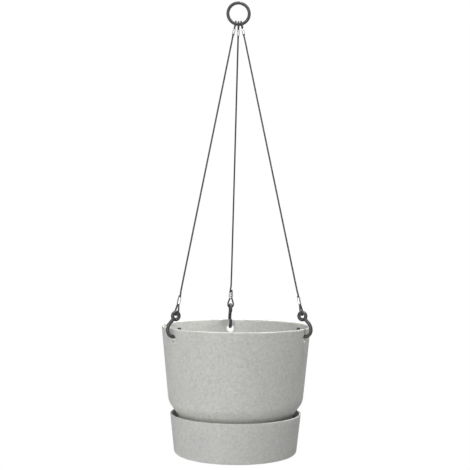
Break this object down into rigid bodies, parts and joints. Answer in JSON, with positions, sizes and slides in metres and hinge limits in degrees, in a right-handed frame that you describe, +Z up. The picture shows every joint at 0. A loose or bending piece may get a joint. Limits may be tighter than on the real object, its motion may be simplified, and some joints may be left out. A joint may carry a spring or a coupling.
{
  "type": "hanging basket",
  "caption": "Round self-watering planter with a clip-on saucer, hung from a ring by crimped wire ropes and hooks through its rim.",
  "frame": {"origin": "the ring's inside top, where the ceiling hook bears", "axes": "+Z up, along the basket's height; +Y towards the back rope; X along the ring's diameter, in the ring's plane"},
  "size_m": [0.239, 0.2507, 0.7252],
  "materials": {
    "planter_plastic": "matt, finely mottled moulded plastic",
    "powder_coat": "satin anthracite powder coat",
    "rope_coat": "dark coating over twisted wire",
    "ferrule_aluminium": "crimped, satin"
  },
  "bodies": {
    "ring": {"hanging_ring": "powder_coat"},
    "planter": {"pot": "planter_plastic"},
    "saucer": {"reservoir_saucer": "planter_plastic"},
    "rope_back": {"rope_back": "rope_coat", "upper_ferrule_back": "ferrule_aluminium", "lower_ferrule_back": "ferrule_aluminium"},
    "hook_back": {"hook_back": "powder_coat"},
    "rope_left": {"rope_left": "rope_coat", "upper_ferrule_left": "ferrule_aluminium", "lower_ferrule_left": "ferrule_aluminium"},
    "hook_left": {"hook_left": "powder_coat"},
    "rope_right": {"rope_right": "rope_coat", "upper_ferrule_right": "ferrule_aluminium", "lower_ferrule_right": "ferrule_aluminium"},
    "hook_right": {"hook_right": "powder_coat"}
  },
  "joints": [
    {"name": "basket_swing", "type": "hinge", "parent": "ring", "child": "planter", "pos_m": [0, 0, -0.03163], "axis": [1, 0, 0], "range_deg": [-30, 30]},
    {"name": "rope_back_swing", "type": "hinge", "parent": "ring", "child": "rope_back", "pos_m": [0, 0, -0.03163], "axis": [1, 0, 0], "range_deg": [-30, 30]},
    {"name": "hook_back_rock", "type": "hinge", "parent": "rope_back", "child": "hook_back", "pos_m": [0, 0.11364, -0.49551], "axis": [-1, 0, 0], "range_deg": [-2, 6]},
    {"name": "rope_left_swing", "type": "hinge", "parent": "ring", "child": "rope_left", "pos_m": [0, 0, -0.03163], "axis": [1, 0, 0], "range_deg": [-30, 30]},
    {"name": "hook_left_rock", "type": "hinge", "parent": "rope_left", "child": "hook_left", "pos_m": [-0.09843, -0.05682, -0.49551], "axis": [0.5, -0.866, 0], "range_deg": [-2, 6]},
    {"name": "rope_right_swing", "type": "hinge", "parent": "ring", "child": "rope_right", "pos_m": [0, 0, -0.03163], "axis": [1, 0, 0], "range_deg": [-30, 30]},
    {"name": "hook_right_rock", "type": "hinge", "parent": "rope_right", "child": "hook_right", "pos_m": [0.09843, -0.05682, -0.49551], "axis": [0.5, 0.866, 0], "range_deg": [-2, 6]},
    {"name": "saucer_drop", "type": "slide", "parent": "planter", "child": "saucer", "axis": [0, 0, -1], "range_m": [0, 0.075]}
  ],
  "couplings": [
    {"joint": "rope_back_swing", "follows": "basket_swing", "ratio": 1},
    {"joint": "rope_left_swing", "follows": "basket_swing", "ratio": 1},
    {"joint": "rope_right_swing", "follows": "basket_swing", "ratio": 1}
  ]
}
